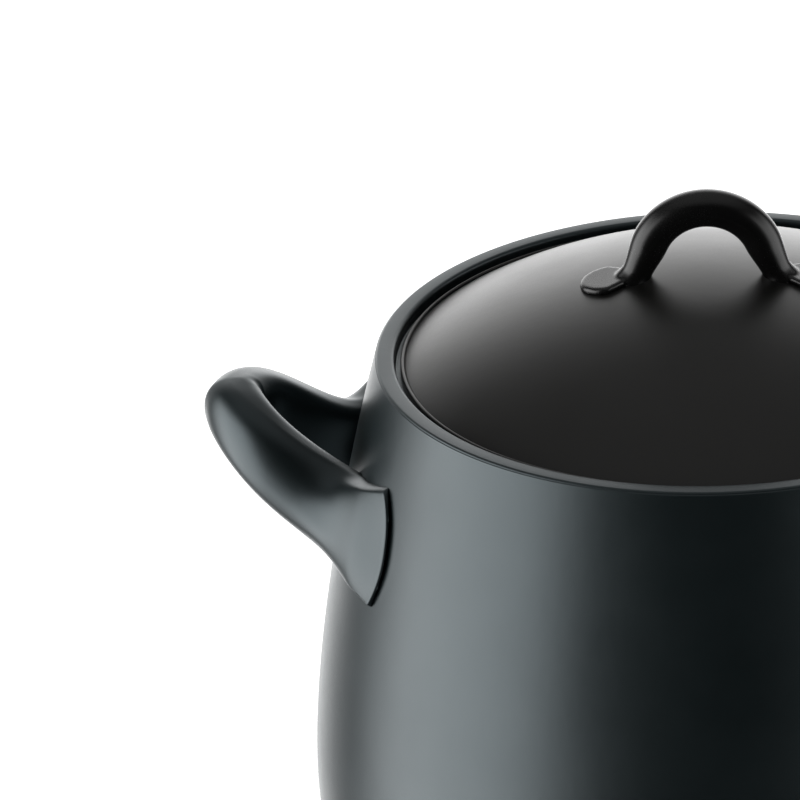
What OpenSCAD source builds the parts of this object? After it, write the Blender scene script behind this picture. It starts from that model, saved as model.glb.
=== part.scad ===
// Bellied cooking pot with a drop-in domed lid, an arched lid grip and two ear handles.
// Millimetres, +Z up. The origin is the centre of the base, on the surface the pot stands on.
// The handles lie along X, and so does the lid grip.

/* [Pot] */
// Height of the rim above the surface the pot stands on
pot_h = 228; // [200:1:260]
// Outer radius at the top of the rim
rim_r = 119.8; // [112:0.1:128]
// Outer radius at the widest point of the belly
belly_r = 147.6; // [138:0.1:156]
// Height of the widest point of the belly
belly_h = 63.5; // [52:0.5:76]
// Radius of the flat base
base_r = 104; // [90:1:110]
// Thickness of the side wall, measured level
wall = 4; // [3:0.1:5]
// Thickness of the floor
floor_t = 6; // [5:0.1:8]
// Lean of the wall at the rim, in degrees from upright
rim_lean = 16; // [12:0.5:20]

/* [Rim and lid seat] */
// Width of the flat rim around the recess that the lid drops into
rim_w = 6.7; // [5:0.1:10]
// Depth of the recess below the rim
recess_d = 5; // [4:0.1:7]
// Width of the ledge that the lid rests on
ledge_w = 3.6; // [2.5:0.1:5]
// Height of the thick collar under the ledge
collar_h = 7; // [5:0.5:10]
// Height over which the collar tapers into the wall
collar_taper = 10; // [8:0.5:14]
// Rounding of the rim's outer edge
rim_round = 1; // [0.5:0.1:1.5]
// Rounding of the rim's inner edge
recess_round = 1.5; // [0.5:0.1:2]

/* [Base disc] */
// Width of the ring of the base around the steel disc
disc_inset = 10; // [6:1:24]
// Thickness of the steel disc
disc_t = 2; // [1.5:0.1:2.5]
// Number of turned grooves in the disc
disc_grooves = 4; // [2:1:6]
// Width of a turned groove
groove_w = 2.4; // [1.5:0.1:4]
// Depth of a turned groove
groove_d = 0.5; // [0.3:0.1:0.8]

/* [Lid] */
// Gap between the lid's lip and the wall of the recess
lip_gap = 2.1; // [1:0.1:3]
// Thickness of the lid's flange
flange_t = 2; // [1.5:0.1:3]
// Height of the rounded lip at the edge of the flange
lip_h = 0.7; // [0.4:0.1:1]
// Width of the rounded lip
lip_w = 1.5; // [1:0.1:2]
// Height of the dome above its edge
dome_h = 32; // [26:1:38]
// Thickness of the dome
dome_t = 2.5; // [2:0.1:3.5]
// Gap between the locating skirt and the bore of the ledge
skirt_gap = 1; // [0.6:0.1:1.5]
// Depth of the locating skirt below the flange
skirt_d = 6; // [4:0.5:9]
// Thickness of the locating skirt
skirt_t = 2; // [1.5:0.1:3]
// Radius of the boss under each grip screw
boss_r = 6.5; // [6:0.1:8]
// Least height of a boss below the dome
boss_d = 0.6; // [0.4:0.1:2]

/* [Lid grip] */
// Radius of the rod at the top of the arch
rod_r = 6.65; // [5.5:0.05:7.5]
// Radius of the rod where it meets the lid
leg_r = 5.3; // [4.6:0.1:6]
// Height of the rod's centre above the top of the dome
arch_h = 25.3; // [22:0.1:32]
// Bend radius of the arch
arch_r = 22; // [19:0.5:26]
// Angle that each side of the arch turns through
arch_turn = 65; // [58:1:72]
// Distance from the lid's centre to the end of each tongue
foot_reach = 45.5; // [42:0.5:50]
// Half the width of a tongue
foot_half_w = 10; // [8:0.5:11]
// Thickness of a tongue
foot_t = 2.4; // [1.8:0.1:3]

/* [Handles] */
// Thickness of a pad inside its edge
pad_t = 4; // [3:0.1:5]
// Share of that thickness lost in the bevel along the pad's end
pad_bevel = 0.45; // [0.2:0.05:0.6]
// How much the pad thickens towards the loop
pad_rise = 28; // [18:1:34]
// Air between a pad and the pot, taken up by their coatings
pad_gap = 0.06; // [0.05:0.01:0.1]
// How softly the loop turns into a pad
pad_blend = 9; // [4:0.5:12]
// Squareness of the loop's outward side, where 2 is an ellipse
outer_squareness = 2.2; // [2:0.1:2.6]
// Squareness of the side that faces the pot
inner_squareness = 3.4; // [2.6:0.1:4]
// Half the thickness of the loop at its outer end
loop_half_t = 10.6; // [9:0.1:12]

/* [Fasteners] */
// Radius of a screw's shank
screw_r = 2; // [1.8:0.05:2.2]
// Radius of a screw's head
head_r = 3.8; // [3.4:0.1:4.2]
// Height of a screw's head
head_h = 2.6; // [2:0.1:3]
// Width across the flats of the hexagon socket
socket_af = 2.5; // [2:0.1:3]
// Depth of the hexagon socket
socket_d = 1.4; // [1:0.1:1.6]
// Radial clearance between a shank and its hole
screw_gap = 0.05; // [0.02:0.01:0.1]
// Radius of a sealing washer
washer_r = 4.5; // [4.2:0.1:5]
// Thickness of a sealing washer
washer_t = 1; // [0.6:0.1:1.5]
// Depth of the flat spot-face under a handle washer
spot_d = 0.4; // [0.3:0.05:0.6]
// Depth of the blind holes in the pads
pad_hole_d = 5.2; // [4.6:0.1:5.6]
// Depth of the blind holes in the grip's legs
leg_hole_d = 7; // [6:0.5:8]
// Air left past the end of a screw in its hole
tip_gap = 0.4; // [0.2:0.1:0.6]

/* [Hidden] */
$fn = 96;
eps = 0.01;
cut = 1;            // how far a cutting solid runs past the face it opens
disc_gap = 0.05;    // radial air around the base disc
spot_gap = 0.5;     // radial air around a washer in its spot-face
flange_bite = 1;    // how far the lid's flange runs into its dome

coat = "#5c6568";
lid_coat = "#2b2d2e";
grip_coat = "#1d1f20";
steel = "#b9bcbe";
silicone = "#8f9092";

// Bezier curve of any degree, at t from 0 to 1
function mix(a, b, t) = a + (b - a) * t;
function smooth(t) = let (c = min(1, max(0, t))) c * c * (3 - 2 * c);
function bezier(p, t) = len(p) == 1 ? p[0]
    : bezier([for (i = [0:len(p) - 2]) mix(p[i], p[i + 1], t)], t);

// Side of the pot as [radius, height], from the rim down to the belly and on to the base
side_steps = 28;
bowl_steps = 22;
rim_pull = 29.4;      // reach of the curve's handle at the rim
belly_pull = 54.5;    // reach of the curve's handle above the belly
bowl_pull = 38;       // reach of the curve's handle below the belly
base_pull = 30;       // reach of the curve's handle at the base
upper_curve = [
    [rim_r, pot_h],
    [rim_r + rim_pull * sin(rim_lean), pot_h - rim_pull * cos(rim_lean)],
    [belly_r, belly_h + belly_pull],
    [belly_r, belly_h]
];
lower_curve = [
    [belly_r, belly_h],
    [belly_r, belly_h - bowl_pull],
    [base_r + base_pull, 0],
    [base_r, 0]
];
inner_bowl = [
    [belly_r - wall, belly_h],
    [belly_r - wall, belly_h - bowl_pull + floor_t / 3],
    [base_r + base_pull - wall - floor_t / 3, floor_t],
    [base_r - wall, floor_t]
];
upper_pts = [for (i = [0:side_steps]) bezier(upper_curve, i / side_steps)];
lower_pts = [for (i = [1:bowl_steps]) bezier(lower_curve, i / bowl_steps)];

// Outer radius of the side at a height, and the side's lean there in degrees from upright
side_table = [for (i = [side_steps:-1:0]) [upper_pts[i][1], upper_pts[i][0]]];
function side_r(z) = lookup(z, side_table);
lean_step = 2;         // height above and below over which the lean is taken
function lean(z) = atan2(side_r(z - lean_step) - side_r(z + lean_step), 2 * lean_step);

// Base disc and lid seat
disc_r = base_r - disc_inset;
recess_r = rim_r - rim_w;
ledge_z = pot_h - recess_d;
ledge_r = recess_r - ledge_w;
collar_z = ledge_z - collar_h;
taper_z = collar_z - collar_taper;
taper_gap = 2;         // least height between the taper's foot and the next point below it

// Lid
lip_r = recess_r - lip_gap;
flange_top = ledge_z + flange_t;
dome_r = lip_r - lip_w;
ball_r = (dome_r * dome_r + dome_h * dome_h) / (2 * dome_h);
ball_z = flange_top + dome_h - ball_r;
skirt_r = ledge_r - skirt_gap;

// Lid grip
arch_z = flange_top + dome_h + arch_h;
knee = [arch_r * sin(arch_turn), arch_z - arch_r * (1 - cos(arch_turn))];
function dome_z(x) = ball_z + sqrt(ball_r * ball_r - x * x);
leg_x = knee[0] + (knee[1] - dome_z(knee[0])) / tan(arch_turn);
foot_base = dome_z(leg_x);
leg_len = (knee[1] - foot_base) / sin(arch_turn);
leg_sink = 4;          // how far a leg runs into the dome before it is trimmed
leg_overlap = 1;       // how far a leg starts inside the arch
leg_step = 0.1;        // how much thinner than the arch a leg starts
neck_share = 0.9;       // a tongue's half width at the leg, as a share of the leg's radius
tongue_neck = leg_r * neck_share;
grip_screw_in = 1.7;    // how far inside the foot of a leg its screw stands, to stay in the leg
grip_screw_x = leg_x - grip_screw_in;
grip_seat_z = dome_z(grip_screw_x + boss_r) - dome_t - boss_d;

// Profile of a screw's head, as shares of its radius and height
head_profile = [[1, 0], [1, 0.45], [0.86, 0.8], [0.6, 1], [0, 1]];

// Handle screws as [distance across from the handle's middle, drop below the rim], upper and lower
screw_places = [[36.5, 41], [46.2, 50]];

// Handle rails as [distance out from the pot's side, distance across, drop below the rim]
top_rail = [[50.6, 0, 9], [42.1, 25.5, 9], [25, 29.5, 25], [-4, 17, 40.5], [-1.5, 31, 36],
    [0, 54.5, 27.5]];
low_rail = [[42.8, 0, 34], [45.5, 20, 35], [21.2, 25.5, 62], [5.6, 20, 61], [4, 45, 66],
    [0, 60.5, 71.5]];
// Half thickness of the loop, and bulge of the pad's end, along the rails
half_t = [[loop_half_t], [9.4], [7.5], [12], [7], [1.5]];
end_bulge = [[0], [0], [0], [0], [1], [7.5]];
top_corner = 2.6;      // squareness of the pad's upper corner
low_corner = 2;        // and of its lower tip
edge_ramp = 2.5;       // how soon a pad reaches its thickness, in from its top and bottom edges
bevel_from = 0.88;     // where along the rails the bevel of a pad's end begins
blend_ramp = 3;        // how soon along the rails the soft turn into a pad builds up
loop_turn = 0.06;      // how far along the rails the sections take to square up with them
loop_steps = 26;
loop_sides = 28;

// A rail's points in the pot's frame, for the handle on the +X side
function rail_pts(rail) = [for (p = rail)
    let (z = pot_h - p[2])
    [p[0] + sqrt(pow(side_r(z), 2) - p[1] * p[1]), p[1], z]];
top_pts = rail_pts(top_rail);
low_pts = rail_pts(low_rail);
function loop_mid(t) = (bezier(top_pts, t) + bezier(low_pts, t)) / 2;
function unit(v) = v / norm(v);
function along(t) = t < eps ? [0, 1, 0]
    : unit(mix([0, 1, 0], unit(loop_mid(min(t + eps, 1)) - loop_mid(t - eps)), smooth(t / loop_turn)));
function power(v, e) = sign(v) * pow(abs(v), 2 / e);

// Moves a point out to a set distance from the pot's side if it lies closer, with a soft turn
function lift(p, gap, blend) =
    let (
        r = norm([p[0], p[1]]),
        need = side_r(p[2]) + gap,
        s = (r + need + sqrt(pow(r - need, 2) + blend * blend)) / 2 / r
    )
    [p[0] * s, p[1] * s, p[2]];

// One section of the handle: t is 0 at the outer end of the loop and 1 at the end of a pad
function section(t) =
    let (
        top = bezier(top_pts, t),
        low = bezier(low_pts, t),
        half = (top - low) / 2,
        fwd = along(t),
        out = unit(cross(fwd, half)),
        mid = (top + low) / 2,
        across = unit([-mid[1], mid[0], 0]),
        ht = bezier(half_t, t)[0],
        bulge = bezier(end_bulge, t)[0],
        edge_t = pad_t * (1 - pad_bevel * smooth((t - bevel_from) / (1 - bevel_from))),
        soft = pad_blend * sqrt(1 - t) * smooth(t * blend_ramp)
    )
    [for (k = [0:loop_sides - 1])
        let (
            a = 360 * k / loop_sides,
            outer = max(0, sin(a)),
            square = outer > 0 ? outer_squareness : inner_squareness,
            u = power(cos(a), square),
            w = power(sin(a), square),
            corner = u > 0 ? top_corner : low_corner,
            gap = pad_gap + smooth(outer * edge_ramp) * (edge_t + pad_rise * (1 - t) * outer)
        )
        lift(mid + half * u + out * ht * w + across * bulge * (1 - pow(abs(u), corner)),
            gap, soft * outer)];

function mirror_y(pts) = [for (p = pts) [p[0], -p[1], p[2]]];
function centroid(pts) = let (n = len(pts)) [for (k = [0:n - 1]) 1] * pts / n;

rings = concat(
    [for (i = [loop_steps:-1:0]) section(i / loop_steps)],
    [for (i = [1:loop_steps]) mirror_y(section(i / loop_steps))]
);
ring_count = len(rings);
ring_pts = [for (r = rings) each r];
handle_pts = concat(ring_pts, [centroid(rings[0]), centroid(rings[ring_count - 1])]);
first_cap = ring_count * loop_sides;
function next(k) = (k + 1) % loop_sides;
handle_faces = concat(
    [for (i = [0:ring_count - 2], k = [0:loop_sides - 1])
        [i * loop_sides + k, i * loop_sides + next(k), (i + 1) * loop_sides + next(k)]],
    [for (i = [0:ring_count - 2], k = [0:loop_sides - 1])
        [i * loop_sides + k, (i + 1) * loop_sides + next(k), (i + 1) * loop_sides + k]],
    [for (k = [0:loop_sides - 1]) [first_cap, next(k), k]],
    [for (k = [0:loop_sides - 1])
        [first_cap + 1, first_cap - loop_sides + k, first_cap - loop_sides + next(k)]]
);

// Places its children at a handle screw: +Z points straight out through the pot's side.
// side is 1 for the right handle and -1 for the left, row is 1 at the rear and -1 at the front.
module at_pad(side, row, place) {
    z = pot_h - place[1];
    turn = asin(place[0] / side_r(z));
    rotate([0, 0, side > 0 ? row * turn : 180 - row * turn])
        translate([side_r(z), 0, z])
            rotate([0, 90 - lean(z), 0])
                children();
}

module every_pad_screw(side) {
    for (row = [-1, 1], place = screw_places)
        at_pad(side, row, place)
            children();
}

// Pan-head screw with its head's underside at z = 0 and its shank upwards
module screw(length) {
    color(steel)
        difference() {
            union() {
                cylinder(r = screw_r, h = length);
                rotate_extrude()
                    polygon(concat([[0, 0]], [for (p = head_profile) [p[0] * head_r, -p[1] * head_h]]));
            }
            translate([0, 0, -head_h - eps])
                cylinder(r = socket_af / sqrt(3), h = socket_d + eps, $fn = 6);
        }
}

module washer() {
    color(silicone)
        difference() {
            cylinder(r = washer_r, h = washer_t);
            translate([0, 0, -cut])
                cylinder(r = screw_r + screw_gap, h = washer_t + 2 * cut);
        }
}

// The flat seat under a handle washer, measured in from the pot's outer face
pad_seat = wall - spot_d;
module pad_washer(side, row, place) {
    at_pad(side, row, place)
        translate([0, 0, -pad_seat - washer_t])
            washer();
}
module pad_screw(side, row, place) {
    at_pad(side, row, place)
        translate([0, 0, -pad_seat - washer_t])
            screw(pad_seat + washer_t + pad_hole_d - tip_gap);
}

module pot_outline() {
    polygon(concat(
        [[0, pot_h], [rim_r - rim_round, pot_h]],
        [for (a = [60, 30]) [rim_r - rim_round * (1 - cos(a)), pot_h - rim_round * (1 - sin(a))]],
        [for (i = [1:side_steps]) upper_pts[i]],
        lower_pts,
        [[0, 0]]
    ));
}

// The space inside the pot: bowl, collar, ledge and recess
module inner_outline() {
    polygon(concat(
        [[0, pot_h + cut], [recess_r + recess_round, pot_h + cut]],
        [for (a = [90, 60, 30, 0])
            [recess_r + recess_round * (1 - cos(a)), pot_h - recess_round * (1 - sin(a))]],
        [[recess_r, ledge_z], [ledge_r, ledge_z], [ledge_r, collar_z]],
        [[side_r(taper_z) - wall, taper_z]],
        [for (p = upper_pts) if (p[1] < taper_z - taper_gap && p[1] > belly_h) [p[0] - wall, p[1]]],
        [for (i = [0:bowl_steps]) bezier(inner_bowl, i / bowl_steps)],
        [[0, floor_t]]
    ));
}

module pot_body() {
    color(coat)
        difference() {
            rotate_extrude()
                pot_outline();
            rotate_extrude()
                inner_outline();
            translate([0, 0, -cut])
                cylinder(r = disc_r + disc_gap, h = cut + disc_t);
            for (side = [-1, 1])
                every_pad_screw(side) {
                    translate([0, 0, -2 * wall])
                        cylinder(r = screw_r + screw_gap, h = 3 * wall);
                    translate([0, 0, -pad_seat - 2 * wall])
                        cylinder(r = washer_r + spot_gap, h = 2 * wall);
                }
        }
}

module base_disc() {
    color(steel)
        difference() {
            cylinder(r = disc_r, h = disc_t);
            for (i = [1:disc_grooves])
                translate([0, 0, -cut])
                    difference() {
                        cylinder(r = disc_r * i / (disc_grooves + 1) + groove_w, h = cut + groove_d);
                        cylinder(r = disc_r * i / (disc_grooves + 1), h = cut + groove_d);
                    }
        }
}

module handle(side) {
    color(coat)
        difference() {
            if (side > 0)
                polyhedron(handle_pts, handle_faces);
            else
                mirror([1, 0, 0])
                    polyhedron(handle_pts, handle_faces);
            every_pad_screw(side)
                translate([0, 0, -cut])
                    cylinder(r = screw_r + screw_gap, h = cut + pad_hole_d);
        }
}
module left_handle() { handle(-1); }
module right_handle() { handle(1); }

module lid() {
    color(lid_coat)
        difference() {
            union() {
                // dome
                intersection() {
                    difference() {
                        translate([0, 0, ball_z])
                            sphere(r = ball_r);
                        translate([0, 0, ball_z])
                            sphere(r = ball_r - dome_t);
                    }
                    translate([0, 0, ledge_z])
                        cylinder(r = dome_r, h = 2 * dome_h);
                }
                // flange, rounded lip and locating skirt
                rotate_extrude()
                    polygon(concat(
                        [[dome_r - flange_bite, flange_top], [dome_r, flange_top]],
                        [for (a = [150, 120, 90, 60, 30, 0])
                            [lip_r - lip_w / 2 * (1 - cos(a)), flange_top + lip_h * sin(a)]],
                        [[lip_r, ledge_z], [skirt_r, ledge_z], [skirt_r, ledge_z - skirt_d]],
                        [[skirt_r - skirt_t, ledge_z - skirt_d], [skirt_r - skirt_t, flange_top]]
                    ));
                // flat seats under the grip screws
                for (side = [-1, 1])
                    intersection() {
                        translate([side * grip_screw_x, 0, grip_seat_z])
                            cylinder(r = boss_r, h = dome_h);
                        translate([0, 0, ball_z])
                            sphere(r = ball_r - dome_t / 2);
                    }
            }
            for (side = [-1, 1])
                translate([side * grip_screw_x, 0, grip_seat_z - cut])
                    cylinder(r = screw_r + screw_gap, h = dome_h);
        }
}

// Outline of a tongue on the +X side, seen from above
module tongue_outline() {
    translate([foot_reach - foot_half_w, 0])
        circle(r = foot_half_w);
    polygon([
        [leg_x, -tongue_neck], [foot_reach - foot_half_w, -foot_half_w],
        [foot_reach - foot_half_w, foot_half_w], [leg_x, tongue_neck]
    ]);
}

// A leg on the +X side. It starts a little inside the arch, and runs into the dome.
module leg() {
    translate([knee[0], 0, knee[1]])
        rotate([0, 90 + arch_turn, 0])
            translate([0, 0, -leg_overlap])
                cylinder(r1 = rod_r - leg_step, r2 = leg_r, h = leg_overlap + leg_len + leg_sink);
}

module tongue() {
    intersection() {
        translate([0, 0, ball_z])
            sphere(r = ball_r + foot_t);
        translate([0, 0, foot_base - dome_h / 2])
            linear_extrude(dome_h)
                tongue_outline();
    }
}

module lid_grip() {
    color(grip_coat)
        difference() {
            union() {
                translate([0, 0, arch_z - arch_r])
                    rotate([90, 0, 0])
                        rotate([0, 0, 90 - arch_turn])
                            rotate_extrude(angle = 2 * arch_turn)
                                translate([arch_r, 0])
                                    circle(r = rod_r);
                leg();
                tongue();
                mirror([1, 0, 0]) {
                    leg();
                    tongue();
                }
            }
            translate([0, 0, ball_z])
                sphere(r = ball_r);
            for (side = [-1, 1])
                translate([side * grip_screw_x, 0, foot_base - leg_hole_d])
                    cylinder(r = screw_r + screw_gap, h = 2 * leg_hole_d);
        }
}

module grip_washer(side) {
    translate([side * grip_screw_x, 0, grip_seat_z - washer_t])
        washer();
}
module grip_screw(side) {
    translate([side * grip_screw_x, 0, grip_seat_z - washer_t])
        screw(foot_base + leg_hole_d - tip_gap - grip_seat_z + washer_t);
}

pot_body();
base_disc();
left_handle();
right_handle();
lid();
lid_grip();
pad_screw(-1, -1, screw_places[0]);  // left_front_upper_screw
pad_screw(-1, -1, screw_places[1]);  // left_front_lower_screw
pad_screw(-1, 1, screw_places[0]);  // left_rear_upper_screw
pad_screw(-1, 1, screw_places[1]);  // left_rear_lower_screw
pad_screw(1, -1, screw_places[0]);  // right_front_upper_screw
pad_screw(1, -1, screw_places[1]);  // right_front_lower_screw
pad_screw(1, 1, screw_places[0]);  // right_rear_upper_screw
pad_screw(1, 1, screw_places[1]);  // right_rear_lower_screw
pad_washer(-1, -1, screw_places[0]);  // left_front_upper_washer
pad_washer(-1, -1, screw_places[1]);  // left_front_lower_washer
pad_washer(-1, 1, screw_places[0]);  // left_rear_upper_washer
pad_washer(-1, 1, screw_places[1]);  // left_rear_lower_washer
pad_washer(1, -1, screw_places[0]);  // right_front_upper_washer
pad_washer(1, -1, screw_places[1]);  // right_front_lower_washer
pad_washer(1, 1, screw_places[0]);  // right_rear_upper_washer
pad_washer(1, 1, screw_places[1]);  // right_rear_lower_washer
grip_screw(-1);  // left_grip_screw
grip_screw(1);  // right_grip_screw
grip_washer(-1);  // left_grip_washer
grip_washer(1);  // right_grip_washer
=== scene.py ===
"""Bellied cooking pot with ear handles, a drop-in domed lid and an arched lid grip.

Metres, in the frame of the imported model: the origin is the centre of the base, +Z is up, and the
handles lie along X. Shapes that the CAD model facets are rebuilt here as smooth meshes on the same
dimensions.
"""
import math

import bmesh
import bpy
from mathutils import Matrix, Vector


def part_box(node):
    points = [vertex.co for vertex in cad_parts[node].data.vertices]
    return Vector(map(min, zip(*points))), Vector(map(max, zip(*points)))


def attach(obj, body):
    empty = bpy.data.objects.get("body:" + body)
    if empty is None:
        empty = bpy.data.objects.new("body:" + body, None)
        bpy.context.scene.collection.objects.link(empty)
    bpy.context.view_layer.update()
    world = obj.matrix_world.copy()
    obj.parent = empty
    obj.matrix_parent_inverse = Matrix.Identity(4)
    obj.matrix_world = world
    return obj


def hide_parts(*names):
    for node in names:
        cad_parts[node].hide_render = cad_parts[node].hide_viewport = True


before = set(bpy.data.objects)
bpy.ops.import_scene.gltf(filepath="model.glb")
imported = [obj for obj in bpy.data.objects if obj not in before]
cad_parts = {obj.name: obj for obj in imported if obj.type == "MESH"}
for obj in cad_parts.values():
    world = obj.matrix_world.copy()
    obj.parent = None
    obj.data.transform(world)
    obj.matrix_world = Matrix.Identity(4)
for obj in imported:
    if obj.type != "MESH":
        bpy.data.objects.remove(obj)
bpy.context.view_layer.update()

MM = 0.001


# ---------------------------------------------------------------- dimensions, in millimetres

low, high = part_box("pot_body")
POT_H = high.z / MM
BELLY_R = (high.x - low.x) / 2 / MM
BELLY_H = 63.5
BASE_R = 104.0
RIM_R = 119.8
WALL = 4.0
FLOOR_T = 6.0
RIM_LEAN = math.radians(16)

# Lengths of the control arms that shape the pot's side
NECK_ARM = 29.4
BELLY_ARM = 54.5
BOWL_ARM = 38.0
BASE_ARM = 30.0

RIM_W = 6.7
RIM_OUTER_ROUND = 1.0
RIM_INNER_ROUND = 1.5
RECESS_D = 5.0
LEDGE_W = 3.6
COLLAR_H = 7.0
COLLAR_TAPER = 10.0
COLLAR_ROUND = 0.8
TAPER_GAP = 2.0

DISC_INSET = 10.0
DISC_GAP = 0.05
POCKET_D = 2.0
POCKET_ROUND = 0.3

LIP_GAP = 2.1
FLANGE_T = 2.0
LIP_H = 0.7
LIP_W = 1.5
DOME_H = 32.0
DOME_T = 2.5
SKIRT_GAP = 1.0
SKIRT_D = 6.0
SKIRT_T = 2.0
SKIRT_ROUND = 0.4

ROD_R = 6.65
ARCH_H = 25.3
ARCH_R = 22.0
ARCH_TURN = math.radians(65)
LEG_R = 5.3
LEG_REACH = 1.08
LEG_SINK = 1.5
LEG_TAPER_RATE = 1.3
LEG_FLARE = 1.3
FLARE_FROM = 0.7
FOOT_REACH = 45.5
FOOT_HALF_W = 10.0
FOOT_T = 2.4
FOOT_NECK = 0.95
FOOT_WIDENING = 6.0
# A foot's rounded edge as (share of its thickness, inset)
FOOT_EDGE = [(0.0, 0.0), (0.62, 0.0), (0.9, 0.35), (1.0, 1.1)]
# Remeshing and smoothing draw the rod in by about this much
REMESH_LOSS = 0.14
VOXEL = 0.45

PAD_T = 4.0
PAD_RISE = 28.0
PAD_GAP = 0.06
EDGE_RAMP = 2.5
BEVEL = 0.45
BEVEL_FROM = 0.88
BLEND = 9.0
BLEND_RAMP = 3.0
OUTER_SQUARENESS = 2.2
INNER_SQUARENESS = 3.4
TOP_CORNER = 2.6
LOW_CORNER = 2.0
LOOP_TURN = 0.06
# A pad's rounded end as (distance past the outline, share of the pad's thickness)
PAD_EDGE = [(0.45, 0.96), (0.8, 0.82), (1.0, 0.55), (1.05, 0.2), (1.05, 0.0)]

# Handle rails as (distance out from the pot's side, distance across, drop below the rim)
TOP_RAIL = [(50.6, 0, 9), (42.1, 25.5, 9), (25, 29.5, 25), (-4, 17, 40.5), (-1.5, 31, 36), (0, 54.5, 27.5)]
LOW_RAIL = [(42.8, 0, 34), (45.5, 20, 35), (21.2, 25.5, 62), (5.6, 20, 61), (4, 45, 66), (0, 60.5, 71.5)]
HALF_T = [10.6, 9.4, 7.5, 12, 7, 1.5]
END_BULGE = [0, 0, 0, 0, 1, 7.5]

RECESS_R = RIM_R - RIM_W
POCKET_R = BASE_R - DISC_INSET + DISC_GAP
LEDGE_Z = POT_H - RECESS_D
LEDGE_R = RECESS_R - LEDGE_W
TAPER_Z = LEDGE_Z - COLLAR_H - COLLAR_TAPER
LIP_R = RECESS_R - LIP_GAP
FLANGE_TOP = LEDGE_Z + FLANGE_T
SKIRT_R = LEDGE_R - SKIRT_GAP
DOME_R = LIP_R - LIP_W
BALL_R = (DOME_R ** 2 + DOME_H ** 2) / (2 * DOME_H)
BALL_Z = FLANGE_TOP + DOME_H - BALL_R
ARCH_Z = FLANGE_TOP + DOME_H + ARCH_H


# ---------------------------------------------------------------- curves

def bezier(points, t):
    """A point on the Bezier curve of any degree through the given control points."""
    pts = [Vector(p) for p in points]
    while len(pts) > 1:
        pts = [a.lerp(b, t) for a, b in zip(pts, pts[1:])]
    return pts[0]


def bezier_value(values, t):
    """The same for a list of plain numbers."""
    return bezier([(v, 0, 0) for v in values], t)[0]


def smooth(t):
    """An even ramp from 0 to 1 that starts and ends level."""
    t = min(1.0, max(0.0, t))
    return t * t * (3 - 2 * t)


# The pot's outlines as (radius, height, 0)
UPPER_CURVE = [
    (RIM_R, POT_H, 0),
    (RIM_R + NECK_ARM * math.sin(RIM_LEAN), POT_H - NECK_ARM * math.cos(RIM_LEAN), 0),
    (BELLY_R, BELLY_H + BELLY_ARM, 0),
    (BELLY_R, BELLY_H, 0),
]
LOWER_CURVE = [
    (BELLY_R, BELLY_H, 0),
    (BELLY_R, BELLY_H - BOWL_ARM, 0),
    (BASE_R + BASE_ARM, 0, 0),
    (BASE_R, 0, 0),
]
INNER_BOWL = [
    (BELLY_R - WALL, BELLY_H, 0),
    (BELLY_R - WALL, BELLY_H - BOWL_ARM + FLOOR_T / 3, 0),
    (BASE_R + BASE_ARM - WALL - FLOOR_T / 3, FLOOR_T, 0),
    (BASE_R - WALL, FLOOR_T, 0),
]
SIDE_STEPS = 400
SIDE = [bezier(UPPER_CURVE, i / SIDE_STEPS) for i in range(SIDE_STEPS + 1)]


def side_r(z):
    """Outer radius of the pot's side at a height, by bisection along the side's curve."""
    lo, hi = 0, len(SIDE) - 1
    while hi - lo > 1:
        mid = (lo + hi) // 2
        if SIDE[mid].y > z:
            lo = mid
        else:
            hi = mid
    a, b = SIDE[lo], SIDE[hi]
    return a.x + (b.x - a.x) * (a.y - z) / (a.y - b.y)


def dome_z(r):
    """Height of the lid's dome at a radius."""
    return BALL_Z + math.sqrt(BALL_R ** 2 - r * r)


# ---------------------------------------------------------------- mesh helpers

def make_object(name, bm, sharp_angle=40):
    """Turns a bmesh in millimetres into a smooth-shaded object in metres, sharp above an angle."""
    bmesh.ops.remove_doubles(bm, verts=bm.verts, dist=1e-4)
    bmesh.ops.recalc_face_normals(bm, faces=bm.faces)
    bmesh.ops.scale(bm, vec=(MM, MM, MM), verts=bm.verts)
    mesh = bpy.data.meshes.new(name)
    bm.to_mesh(mesh)
    bm.free()
    mesh.shade_smooth()
    mesh.set_sharp_from_angle(angle=math.radians(sharp_angle))
    obj = bpy.data.objects.new(name, mesh)
    bpy.context.scene.collection.objects.link(obj)
    return obj


def lathe(name, profile, segments, sharp_angle):
    """A closed solid of revolution from a closed loop of (radius, height) points."""
    bm = bmesh.new()
    turns = [2 * math.pi * k / segments for k in range(segments)]
    rings = []
    for r, z in profile:
        if r < 1e-6:
            rings.append([bm.verts.new((0, 0, z))])
        else:
            rings.append([bm.verts.new((r * math.cos(a), r * math.sin(a), z)) for a in turns])
    for ring, after in zip(rings, rings[1:] + rings[:1]):
        for k in range(segments):
            j = (k + 1) % segments
            corners = [ring[k % len(ring)], ring[j % len(ring)], after[j % len(after)], after[k % len(after)]]
            unique = list(dict.fromkeys(corners))
            if len(unique) > 2:
                bm.faces.new(unique)
    return make_object(name, bm, sharp_angle)


def skin(bm, rings):
    """Joins rings of vertices into a tube and closes both ends."""
    sides = len(rings[0])
    for ring, after in zip(rings, rings[1:]):
        for k in range(sides):
            j = (k + 1) % sides
            bm.faces.new((ring[k], ring[j], after[j], after[k]))
    bm.faces.new(rings[0])
    bm.faces.new(rings[-1])


def curve_points(control, start, stop, steps):
    """Points start to stop, of the given number of steps along a Bezier curve, as (x, y)."""
    return [(p.x, p.y) for p in (bezier(control, i / steps) for i in range(start, stop))]


def arc(cx, cz, r, a0, a1, steps):
    """Points on an arc, from angle a0 to a1 in degrees."""
    return [
        (cx + r * math.cos(math.radians(a)), cz + r * math.sin(math.radians(a)))
        for a in (a0 + (a1 - a0) * i / steps for i in range(steps + 1))
    ]


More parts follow.
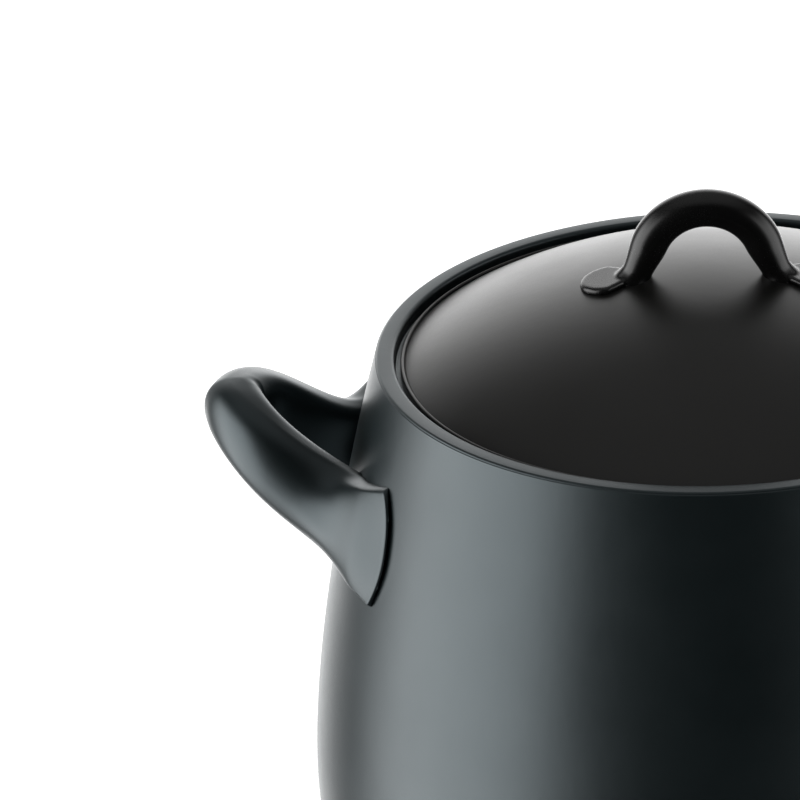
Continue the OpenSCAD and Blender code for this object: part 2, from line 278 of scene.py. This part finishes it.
def rounded(points, radius, steps=5):
    """Replaces each corner of an open outline with a small curve of about the given radius."""
    longest_cut = 0.45
    out = [points[0]]
    for a, b, c in zip(points, points[1:], points[2:]):
        corner = Vector(b)
        to_a, to_c = Vector(a) - corner, Vector(c) - corner
        cut = min(radius, to_a.length * longest_cut, to_c.length * longest_cut)
        start, end = corner + to_a.normalized() * cut, corner + to_c.normalized() * cut
        for i in range(steps + 1):
            t = i / steps
            p = start.lerp(corner, t).lerp(corner.lerp(end, t), t)
            out.append((p.x, p.y))
    out.append(points[-1])
    return out


# ---------------------------------------------------------------- node helpers

class Nodes:
    """Short way to write the node tree of a material or a world."""

    def __init__(self, owner):
        owner.use_nodes = True
        self.owner = owner
        self.tree = owner.node_tree

    def node(self, kind, inputs=None, **settings):
        n = self.tree.nodes.new(kind)
        for key, value in settings.items():
            setattr(n, key, value)
        for key, value in (inputs or {}).items():
            self.set(n.inputs[key], value)
        return n

    def set(self, socket, value):
        if isinstance(value, bpy.types.NodeSocket):
            self.tree.links.new(value, socket)
        else:
            socket.default_value = value

    def coords(self):
        return self.node("ShaderNodeTexCoord").outputs["Object"]

    def split(self, vector):
        n = self.node("ShaderNodeSeparateXYZ", {"Vector": vector})
        return [n.outputs[axis] for axis in "XYZ"]

    def noise(self, coords, scale, detail, rough):
        n = self.node("ShaderNodeTexNoise",
                      {"Vector": coords, "Scale": scale, "Detail": detail, "Roughness": rough})
        return n.outputs["Fac"]

    def ramp(self, fac, stops):
        """Colour along a value, from (position, colour) stops."""
        n = self.node("ShaderNodeValToRGB", {"Fac": fac})
        while len(n.color_ramp.elements) < len(stops):
            n.color_ramp.elements.new(0.5)
        for element, (position, colour) in zip(n.color_ramp.elements, stops):
            element.position = position
            element.color = (*colour, 1)
        return n.outputs["Color"]

    def span(self, value, low, high, start, end):
        """Maps a value's range from start to end onto low to high."""
        n = self.node("ShaderNodeMapRange", {"Value": value, "From Min": start, "From Max": end,
                                              "To Min": low, "To Max": high})
        return n.outputs["Result"]

    def blend(self, fac, a, b):
        n = self.node("ShaderNodeMix", data_type="RGBA")
        factor, first, second = n.inputs["Factor"], n.inputs[6], n.inputs[7]
        for socket, value in ((factor, fac), (first, a), (second, b)):
            self.set(socket, value)
        return n.outputs[2]

    def maths(self, operation, a, b=0.0):
        n = self.node("ShaderNodeMath", operation=operation)
        self.set(n.inputs[0], a)
        self.set(n.inputs[1], b)
        return n.outputs[0]

    def bump(self, height, strength, distance, normal=None):
        inputs = {"Height": height, "Strength": strength, "Distance": distance}
        if normal is not None:
            inputs["Normal"] = normal
        return self.node("ShaderNodeBump", inputs).outputs["Normal"]

    def finish(self, **sockets):
        """Sets the shader's sockets, whose names have _ for each space, and returns the owner."""
        shader = self.tree.nodes["Principled BSDF"]
        for key, value in sockets.items():
            self.set(shader.inputs[key.replace("_", " ")], value)
        return self.owner


# ---------------------------------------------------------------- materials

def coating(name, dark, light, tint, gloss, rough_low, rough_high, grain, grain_depth):
    """Sprayed and baked coating: fine grain, faint mottling, and edges rubbed a little lighter."""
    rub_gain = 1.9
    n = Nodes(bpy.data.materials.new(name))
    coords = n.coords()
    mottle = n.noise(coords, scale=26, detail=4, rough=0.6)
    cloud = n.noise(coords, scale=5, detail=2, rough=0.5)
    shade = n.maths("MULTIPLY", n.maths("ADD", mottle, cloud), 0.5)
    colour = n.ramp(shade, [(0.36, dark), (0.64, light)])

    edge = n.node("ShaderNodeNewGeometry").outputs["Pointiness"]
    worn = n.ramp(edge, [(0.505, (0, 0, 0)), (0.56, (1, 1, 1))])
    patch = n.span(n.noise(coords, scale=120, detail=3, rough=0.7), 0.0, 0.6, 0.45, 0.7)
    rubbed = [min(1.0, c * rub_gain) for c in light]
    colour = n.blend(n.maths("MULTIPLY", worn, patch), colour, (*rubbed, 1))

    speck = n.noise(coords, scale=grain, detail=3, rough=0.65)
    swell = n.noise(coords, scale=grain / 7, detail=2, rough=0.5)
    uneven = n.maths("ADD", n.maths("MULTIPLY", speck, 0.5), n.maths("MULTIPLY", mottle, 0.5))
    rough = n.span(uneven, rough_low, rough_high, 0.35, 0.65)
    normal = n.bump(swell, 0.35, grain_depth * 3)
    normal = n.bump(speck, 0.5, grain_depth, normal)
    return n.finish(Base_Color=colour, Roughness=rough, Normal=normal, Specular_IOR_Level=gloss,
                    Specular_Tint=(*tint, 1))


def turned_steel(name):
    """Stainless steel with the fine rings left by a lathe."""
    n = Nodes(bpy.data.materials.new(name))
    coords = n.coords()
    x, y, _ = n.split(coords)
    radius = n.maths("SQRT", n.maths("ADD", n.maths("MULTIPLY", x, x), n.maths("MULTIPLY", y, y)))
    rings = n.node("ShaderNodeTexNoise", {"W": radius, "Scale": 2600.0, "Detail": 3.0},
                   noise_dimensions="1D").outputs["Fac"]
    stain = n.noise(coords, scale=22, detail=4, rough=0.6)
    colour = n.ramp(stain, [(0.35, (0.42, 0.42, 0.43)), (0.65, (0.6, 0.6, 0.61))])
    rough = n.span(rings, 0.24, 0.42, 0.3, 0.7)
    return n.finish(Base_Color=colour, Roughness=rough, Metallic=1.0, Normal=n.bump(rings, 0.3, 0.00005))


def speckled(name, grain, cloud, dark, light, rough_low, rough_high, strength, depth, metallic):
    """A fine even grain over soft clouds of two shades."""
    n = Nodes(bpy.data.materials.new(name))
    coords = n.coords()
    speck = n.noise(coords, scale=grain, detail=3, rough=0.6)
    colour = n.ramp(n.noise(coords, scale=cloud, detail=3, rough=0.6), [(0.3, dark), (0.7, light)])
    rough = n.span(speck, rough_low, rough_high, 0.3, 0.7)
    return n.finish(Base_Color=colour, Roughness=rough, Metallic=metallic,
                    Normal=n.bump(speck, strength, depth))


BODY_COAT = coating("body_coat", dark=(0.0055, 0.0095, 0.0105), light=(0.0075, 0.012, 0.0132),
                    tint=(0.82, 0.95, 1.0), gloss=0.8, rough_low=0.33, rough_high=0.40,
                    grain=1500, grain_depth=0.00003)
LID_COAT = coating("lid_coat", dark=(0.006, 0.0058, 0.0054), light=(0.009, 0.0086, 0.008),
                   tint=(1.0, 1.0, 0.99), gloss=0.5, rough_low=0.31, rough_high=0.37,
                   grain=1700, grain_depth=0.00002)
GRIP_COAT = coating("grip_coat", dark=(0.005, 0.005, 0.005), light=(0.008, 0.008, 0.008),
                    tint=(1.0, 1.0, 1.0), gloss=0.5, rough_low=0.24, rough_high=0.29,
                    grain=1500, grain_depth=0.000005)
BASE_STEEL = turned_steel("base_steel")
SCREW_STEEL = speckled("screw_steel", grain=900, cloud=180, dark=(0.46, 0.46, 0.47), light=(0.64, 0.64, 0.65),
                       rough_low=0.22, rough_high=0.4, strength=0.25, depth=0.00003, metallic=1.0)
SEAL = speckled("seal_silicone", grain=1400, cloud=240, dark=(0.2, 0.2, 0.205), light=(0.27, 0.27, 0.275),
                rough_low=0.55, rough_high=0.75, strength=0.3, depth=0.00004, metallic=0.0)


def paint(obj, material):
    obj.data.materials.clear()
    obj.data.materials.append(material)


def place(obj, body, node, material):
    """Puts a rebuilt piece in place of its CAD node."""
    paint(obj, material)
    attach(obj, body)
    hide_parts(node)


# ---------------------------------------------------------------- pot

def pot_shell():
    """The whole shell as one turned outline, from the rim down the outside and back up the inside."""
    side_steps, bowl_steps, edge_steps = 90, 48, 6
    rim = arc(RIM_R - RIM_OUTER_ROUND, POT_H - RIM_OUTER_ROUND, RIM_OUTER_ROUND, 90, 15, edge_steps)
    outer = curve_points(UPPER_CURVE, 1, side_steps + 1, side_steps)
    bowl = curve_points(LOWER_CURVE, 1, bowl_steps + 1, bowl_steps)
    under = [(POCKET_R + POCKET_ROUND, 0.0), (POCKET_R, POCKET_ROUND), (POCKET_R, POCKET_D), (0, POCKET_D)]
    inside = curve_points(INNER_BOWL, 0, bowl_steps + 1, bowl_steps)[::-1]
    inner_side = [
        (r - WALL, z) for r, z in curve_points(UPPER_CURVE, 0, side_steps, side_steps)
        if BELLY_H < z < TAPER_Z - TAPER_GAP
    ]
    neck = rounded([
        inner_side[0], (side_r(TAPER_Z) - WALL, TAPER_Z), (LEDGE_R, LEDGE_Z - COLLAR_H), (LEDGE_R, LEDGE_Z),
        (RECESS_R, LEDGE_Z), (RECESS_R, POT_H - RIM_INNER_ROUND)
    ], COLLAR_ROUND)
    lip = arc(RECESS_R + RIM_INNER_ROUND, POT_H - RIM_INNER_ROUND, RIM_INNER_ROUND, 180, 90, edge_steps)
    profile = rim + outer + bowl + under + [(0, FLOOR_T)] + inside + inner_side[::-1] + neck[1:] + lip
    return lathe("pot_shell", profile, segments=320, sharp_angle=30)


# ---------------------------------------------------------------- handles

def rail_points(rail):
    out = []
    for reach, across, drop in rail:
        z = POT_H - drop
        out.append((reach + math.sqrt(side_r(z) ** 2 - across ** 2), across, z))
    return out


TOP_POINTS = rail_points(TOP_RAIL)
LOW_POINTS = rail_points(LOW_RAIL)


def loop_middle(t):
    return (bezier(TOP_POINTS, t) + bezier(LOW_POINTS, t)) / 2


def loop_direction(t):
    """Direction along the handle, held square to the loop's middle at its outer end."""
    step = 0.002
    square = Vector((0, 1, 0))
    if t < step:
        return square
    along = (loop_middle(min(1, t + step)) - loop_middle(t - step)).normalized()
    return square.lerp(along, smooth(t / LOOP_TURN)).normalized()


def lift(point, gap, blend):
    """Moves a point out to a set distance from the pot's side if it lies closer, with a soft turn."""
    r = math.hypot(point.x, point.y)
    need = side_r(min(point.z, POT_H)) + gap
    reach = (r + need + math.sqrt((r - need) ** 2 + blend ** 2)) / 2
    point.x *= reach / r
    point.y *= reach / r
    return point


def power(v, squareness):
    """Bends a sine or cosine so that a ring of them goes from round towards square."""
    return math.copysign(abs(v) ** (2 / squareness), v)


def handle_section(t, sides, spill=0.0, height=1.0):
    """One ring of the handle: t is 0 at the outer end of the loop and 1 at the end of a pad.

    spill pushes the ring on past the pad's end, and height scales the pad's thickness, so that
    the last few rings round the pad's edge off.
    """
    mid = loop_middle(t)
    half = (bezier(TOP_POINTS, t) - bezier(LOW_POINTS, t)) / 2
    out = loop_direction(t).cross(half).normalized()
    across = Vector((-mid.y, mid.x, 0)).normalized()
    thick = bezier_value(HALF_T, t)
    bulge = bezier_value(END_BULGE, t)
    edge_t = PAD_T * (1 - BEVEL * smooth((t - BEVEL_FROM) / (1 - BEVEL_FROM)))
    ring = []
    for k in range(sides):
        a = 2 * math.pi * k / sides
        square = OUTER_SQUARENESS if math.sin(a) > 0 else INNER_SQUARENESS
        u, w = power(math.cos(a), square), power(math.sin(a), square)
        outer = max(0.0, math.sin(a))
        gap = PAD_GAP + height * smooth(outer * EDGE_RAMP) * (edge_t + PAD_RISE * (1 - t) * outer)
        corner = TOP_CORNER if u > 0 else LOW_CORNER
        push = bulge * (1 - abs(u) ** corner) + spill
        blend = BLEND * outer * math.sqrt(1 - t) * smooth(t * BLEND_RAMP)
        ring.append(lift(mid + half * u + out * (thick * w) + across * push, gap, blend))
    return ring


def handle_mesh(name, side):
    """The whole handle, from one pad round the loop to the other. side is 1 for +X and -1 for -X."""
    steps, sides = 110, 96
    half = [handle_section(i / steps, sides) for i in range(steps + 1)]
    half += [handle_section(1, sides, spill, height) for spill, height in PAD_EDGE]
    rings = [[Vector((p.x, -p.y, p.z)) for p in ring] for ring in half[:0:-1]] + half
    bm = bmesh.new()
    skin(bm, [[bm.verts.new((side * p.x, p.y, p.z)) for p in ring] for ring in rings])
    return make_object(name, bm, sharp_angle=50)


# ---------------------------------------------------------------- lid

def lid_shell():
    """Dome, flat lip and skirt as one turned outline."""
    dome_steps, lip_steps = 72, 8
    edge = math.degrees(math.asin(DOME_R / BALL_R))
    dome = arc(0, BALL_Z, BALL_R, 90, 90 - edge, dome_steps)
    lip = arc(LIP_R - LIP_W / 2, FLANGE_TOP + LIP_H / 3, LIP_W / 2, 165, 0, lip_steps)
    skirt_inner = SKIRT_R - SKIRT_T
    below = rounded([
        lip[-1], (LIP_R, LEDGE_Z), (SKIRT_R, LEDGE_Z), (SKIRT_R, LEDGE_Z - SKIRT_D),
        (skirt_inner, LEDGE_Z - SKIRT_D), (skirt_inner, LEDGE_Z)
    ], SKIRT_ROUND)
    inner_r = BALL_R - DOME_T
    inner_edge = math.degrees(math.asin(skirt_inner / inner_r))
    under = arc(0, BALL_Z, inner_r, 90 - inner_edge, 90, dome_steps)
    return lathe("lid_shell", dome + lip + below[1:] + under, segments=288, sharp_angle=30)


# ---------------------------------------------------------------- lid grip

KNEE_X = ARCH_R * math.sin(ARCH_TURN)
KNEE_Z = ARCH_Z - ARCH_R * (1 - math.cos(ARCH_TURN))
LEG_X = KNEE_X + (KNEE_Z - dome_z(KNEE_X)) / math.tan(ARCH_TURN)


def grip_path(steps):
    """Centre line of the rod from the left foot over the arch to the right, as (x, z, radius)."""
    right = []
    for i in range(steps + 1):
        a = ARCH_TURN * i / steps
        right.append((ARCH_R * math.sin(a), ARCH_Z - ARCH_R * (1 - math.cos(a)), ROD_R + REMESH_LOSS))
    for i in range(1, steps + 1):
        t = i / steps
        x = KNEE_X + (LEG_X - KNEE_X) * t * LEG_REACH
        z = KNEE_Z + (dome_z(LEG_X) - LEG_SINK - KNEE_Z) * t
        taper = (LEG_R - ROD_R) * smooth(t * LEG_TAPER_RATE)
        flare = LEG_FLARE * smooth((t - FLARE_FROM) / (1 - FLARE_FROM))
        right.append((x, z, ROD_R + taper + flare + REMESH_LOSS))
    return [(-x, z, r) for x, z, r in right[:0:-1]] + right


def tube(bm, path, sides):
    """A round tube along a path of (x, z, radius)."""
    sideways = Vector((0, 1, 0))
    rings = []
    for i, (x, z, r) in enumerate(path):
        x0, z0, _ = path[max(0, i - 1)]
        x1, z1, _ = path[min(len(path) - 1, i + 1)]
        up = Vector((x1 - x0, 0, z1 - z0)).normalized().cross(sideways)
        rings.append([
            bm.verts.new(Vector((x, 0, z)) + (up * math.cos(a) + sideways * math.sin(a)) * r)
            for a in (2 * math.pi * k / sides for k in range(sides))
        ])
    skin(bm, rings)


def tongue(bm, side):
    """A flat rounded tongue lying on the dome, on one side of the grip."""
    tip_x = FOOT_REACH - FOOT_HALF_W
    neck = LEG_R * FOOT_NECK
    flare_steps, tip_steps = 6, 24
    edge = [(LEG_X - 2, -neck), (LEG_X, -neck)]
    for i in range(flare_steps):
        x = tip_x - FOOT_WIDENING + FOOT_WIDENING * smooth(i / flare_steps)
        edge.append((x, -neck - (FOOT_HALF_W - neck) * smooth((i + 1) / (flare_steps + 1))))
    tip = arc(tip_x, 0, FOOT_HALF_W, -90, 90, tip_steps)
    outline = edge + tip + [(x, -y) for x, y in reversed(edge)]
    middle = Vector((LEG_X + FOOT_WIDENING, 0))
    layers = []
    for share, inset in FOOT_EDGE:
        ring = []
        for point in outline:
            reach = Vector(point) - middle
            x, y = middle + reach * max(0.0, 1 - inset / max(reach.length, 1e-3))
            ring.append(bm.verts.new((side * x, y, dome_z(math.hypot(x, y)) + FOOT_T * share)))
        layers.append(ring)
    skin(bm, layers)


def grip_mesh():
    """Rod and tongues fused into one forged piece with soft fillets where they meet."""
    parts = []
    for name, build in (("rod", lambda b: tube(b, grip_path(24), sides=48)),
                        ("tongue_l", lambda b: tongue(b, -1)), ("tongue_r", lambda b: tongue(b, 1))):
        bm = bmesh.new()
        build(bm)
        parts.append(make_object(name, bm))
    bpy.ops.object.select_all(action="DESELECT")
    for obj in parts:
        obj.select_set(True)
    bpy.context.view_layer.objects.active = parts[0]
    bpy.ops.object.join()
    grip = bpy.context.view_layer.objects.active
    grip.name = grip.data.name = "lid_grip_rod"
    fuse = grip.modifiers.new("fuse", "REMESH")
    fuse.mode = "VOXEL"
    fuse.voxel_size = VOXEL * MM
    soften = grip.modifiers.new("soften", "SMOOTH")
    soften.factor = 0.5
    soften.iterations = 8
    for modifier in ("fuse", "soften"):
        bpy.ops.object.modifier_apply(modifier=modifier)
    grip.data.shade_smooth()
    return grip


# ---------------------------------------------------------------- build

place(pot_shell(), "pot", "pot_body", BODY_COAT)
place(handle_mesh("left_handle_casting", -1), "pot", "left_handle", BODY_COAT)
place(handle_mesh("right_handle_casting", 1), "pot", "right_handle", BODY_COAT)
place(lid_shell(), "lid", "lid", LID_COAT)
place(grip_mesh(), "lid", "lid_grip", GRIP_COAT)

paint(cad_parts["base_disc"], BASE_STEEL)
for name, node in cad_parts.items():
    if name.endswith("_screw"):
        paint(node, SCREW_STEEL)
    elif name.endswith("_washer"):
        paint(node, SEAL)


# ---------------------------------------------------------------- camera and floor

scene = bpy.context.scene

CAMERA_DISTANCE = 2.5
CAMERA_ELEVATION = math.radians(25.041)
CAMERA_PAN = math.radians(2.5516)
CAMERA_TILT = math.radians(-0.3964)
CAMERA_ROLL = math.radians(1.1575)
LENS = 312.4
SENSOR = 36

FLOOR_HALF = 30
FLOOR_DROP = 0.0002


def add_camera():
    """Camera at the height and turn of the product view, aimed near the left edge of the rim."""
    centre = Vector((0, 0, POT_H * MM))
    offset = CAMERA_DISTANCE * Vector((0, -math.cos(CAMERA_ELEVATION), math.sin(CAMERA_ELEVATION)))
    forward = -offset.normalized()
    right = Vector((1, 0, 0))
    up = right.cross(forward)
    turn = Matrix.Rotation(CAMERA_PAN, 3, up)
    forward, right = turn @ forward, turn @ right
    turn = Matrix.Rotation(CAMERA_TILT, 3, right)
    forward, up = turn @ forward, turn @ up
    turn = Matrix.Rotation(CAMERA_ROLL, 3, forward)
    right, up = turn @ right, turn @ up
    data = bpy.data.cameras.new("camera")
    data.lens = LENS
    data.sensor_width = SENSOR
    data.clip_end = 100
    camera = bpy.data.objects.new("camera", data)
    rotation = Matrix((right, up, -forward)).transposed()
    camera.matrix_world = Matrix.Translation(centre + offset) @ rotation.to_4x4()
    scene.collection.objects.link(camera)
    scene.camera = camera


def add_floor():
    """Plain white paper, which neither lights the pot nor shows in its reflections."""
    bm = bmesh.new()
    corners = ((-1, -1), (1, -1), (1, 1), (-1, 1))
    bm.faces.new([bm.verts.new((x * FLOOR_HALF, y * FLOOR_HALF, -FLOOR_DROP)) for x, y in corners])
    mesh = bpy.data.meshes.new("floor")
    bm.to_mesh(mesh)
    bm.free()
    floor = bpy.data.objects.new("floor", mesh)
    scene.collection.objects.link(floor)
    paper = Nodes(bpy.data.materials.new("floor_paper"))
    paint(floor, paper.finish(Base_Color=(0.9, 0.9, 0.9, 1), Roughness=0.9,
                              Emission_Color=(1, 1, 1, 1), Emission_Strength=1.0))
    floor.visible_diffuse = False
    floor.visible_glossy = False
    floor.visible_shadow = False


# ---------------------------------------------------------------- light

LEFT_POWER, RIGHT_POWER, BACK_POWER, TOP_POWER, FILL_POWER = 3.9, 2.2, 3.1, 0.32, 0.003
# Levels by turn from the camera's side, as a share of half a turn
SIDE_TURN = [(0.23, 0.0), (0.31, 0.8), (0.45, 0.9), (0.56, 1.0), (0.67, 0.0)]
BACK_TURN = [(0.73, 0.0), (0.90, 1.0)]
# Levels by height: 0 straight down, 0.5 level, 1 straight up
SIDE_HEIGHT = [(0.08, 0.0), (0.22, 1.0), (0.62, 1.0), (0.78, 0.0)]
BACK_HEIGHT = [(0.15, 0.9), (0.5, 0.8), (0.57, 0.85), (0.66, 0.6), (0.76, 0.3), (0.88, 0.0)]
TOP_HEIGHT = [(0.80, 0.0), (0.95, 1.0)]


def add_world():
    """Studio surround: soft panels on both sides and a pale sweep behind, with the camera's side dark."""
    world = bpy.data.worlds.new("studio")
    n = Nodes(world)
    x, y, z = n.split(n.node("ShaderNodeTexCoord").outputs["Generated"])
    turn = n.maths("ARCTAN2", n.maths("MULTIPLY", x, -1.0), n.maths("MULTIPLY", y, -1.0))
    turn = n.maths("DIVIDE", turn, math.pi)
    height = n.span(z, 0.0, 1.0, -1.0, 1.0)

    def level(value, stops):
        return n.ramp(value, [(position, (grey, grey, grey)) for position, grey in stops])

    def panel(turned, turn_stops, height_stops, strength):
        shape = n.maths("MULTIPLY", level(turned, turn_stops), level(height, height_stops))
        return n.maths("MULTIPLY", shape, strength)

    lights = [
        panel(turn, SIDE_TURN, SIDE_HEIGHT, LEFT_POWER),
        panel(n.maths("MULTIPLY", turn, -1.0), SIDE_TURN, SIDE_HEIGHT, RIGHT_POWER),
        panel(n.maths("ABSOLUTE", turn), BACK_TURN, BACK_HEIGHT, BACK_POWER),
        n.maths("MULTIPLY", level(height, TOP_HEIGHT), TOP_POWER),
        FILL_POWER,
    ]
    total = lights[0]
    for light in lights[1:]:
        total = n.maths("ADD", total, light)
    background = n.tree.nodes["Background"]
    n.set(background.inputs["Strength"], total)
    n.set(background.inputs["Color"], (1, 1, 1, 1))
    scene.world = world


add_camera()
add_floor()
add_world()
scene.view_settings.view_transform = "Standard"
